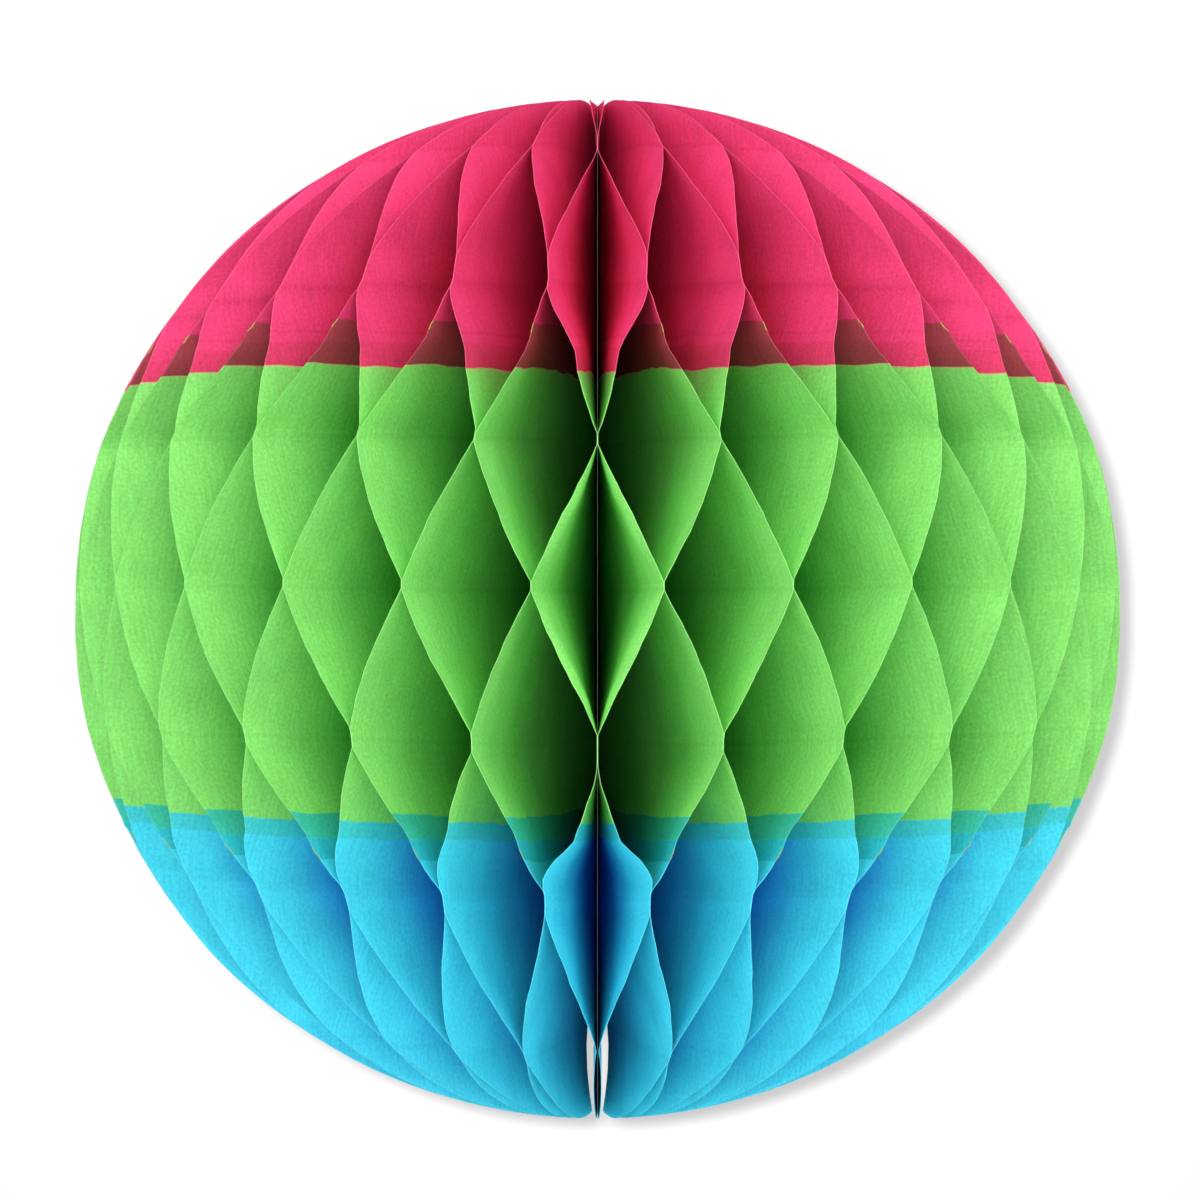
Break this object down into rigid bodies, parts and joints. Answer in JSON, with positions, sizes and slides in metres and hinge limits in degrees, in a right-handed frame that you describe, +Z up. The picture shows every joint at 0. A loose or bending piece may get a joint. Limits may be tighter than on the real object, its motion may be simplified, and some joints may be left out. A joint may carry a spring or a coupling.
{
  "type": "honeycomb tissue paper ball",
  "caption": "Round honeycomb ball of thin tissue in three colour bands, opened from a flat stack of half discs and hung by its top.",
  "frame": {"origin": "middle of the ball, on its upright axis", "axes": "+Z up the axis from the blue end to the cerise end, -Y towards the front, with the seam of the two cards at +Y"},
  "size_m": [0.299, 0.2984, 0.2916],
  "materials": {
    "tissue_paper": "matte, translucent, dyed in three bands",
    "cover_card": "matte"
  },
  "bodies": {
    "root": {"tissue_sheet_01": "tissue_paper", "tissue_sheet_02": "tissue_paper", "tissue_sheet_03": "tissue_paper", "tissue_sheet_04": "tissue_paper", "tissue_sheet_05": "tissue_paper", "tissue_sheet_06": "tissue_paper", "tissue_sheet_07": "tissue_paper", "tissue_sheet_08": "tissue_paper", "tissue_sheet_09": "tissue_paper", "tissue_sheet_10": "tissue_paper", "tissue_sheet_11": "tissue_paper", "tissue_sheet_12": "tissue_paper", "tissue_sheet_13": "tissue_paper", "tissue_sheet_14": "tissue_paper", "tissue_sheet_15": "tissue_paper", "tissue_sheet_16": "tissue_paper", "tissue_sheet_17": "tissue_paper", "tissue_sheet_18": "tissue_paper", "tissue_sheet_19": "tissue_paper", "tissue_sheet_20": "tissue_paper", "tissue_sheet_21": "tissue_paper", "tissue_sheet_22": "tissue_paper", "tissue_sheet_23": "tissue_paper", "tissue_sheet_24": "tissue_paper", "tissue_sheet_25": "tissue_paper", "tissue_sheet_26": "tissue_paper", "tissue_sheet_27": "tissue_paper", "tissue_sheet_28": "tissue_paper", "tissue_sheet_29": "tissue_paper", "tissue_sheet_30": "tissue_paper", "tissue_sheet_31": "tissue_paper", "tissue_sheet_32": "tissue_paper", "tissue_sheet_33": "tissue_paper", "tissue_sheet_34": "tissue_paper", "tissue_sheet_35": "tissue_paper", "tissue_sheet_36": "tissue_paper", "tissue_sheet_37": "tissue_paper", "tissue_sheet_38": "tissue_paper", "tissue_sheet_39": "tissue_paper", "tissue_sheet_40": "tissue_paper", "tissue_sheet_41": "tissue_paper", "tissue_sheet_42": "tissue_paper", "tissue_sheet_43": "tissue_paper", "tissue_sheet_44": "tissue_paper", "tissue_sheet_45": "tissue_paper", "tissue_sheet_46": "tissue_paper", "tissue_sheet_47": "tissue_paper", "tissue_sheet_48": "tissue_paper", "tissue_sheet_49": "tissue_paper", "tissue_sheet_50": "tissue_paper", "tissue_sheet_51": "tissue_paper", "tissue_sheet_52": "tissue_paper", "tissue_sheet_53": "tissue_paper", "tissue_sheet_54": "tissue_paper", "tissue_sheet_55": "tissue_paper", "tissue_sheet_56": "tissue_paper", "cover_card_left": "cover_card", "cover_card_right": "cover_card"}
  },
  "joints": []
}
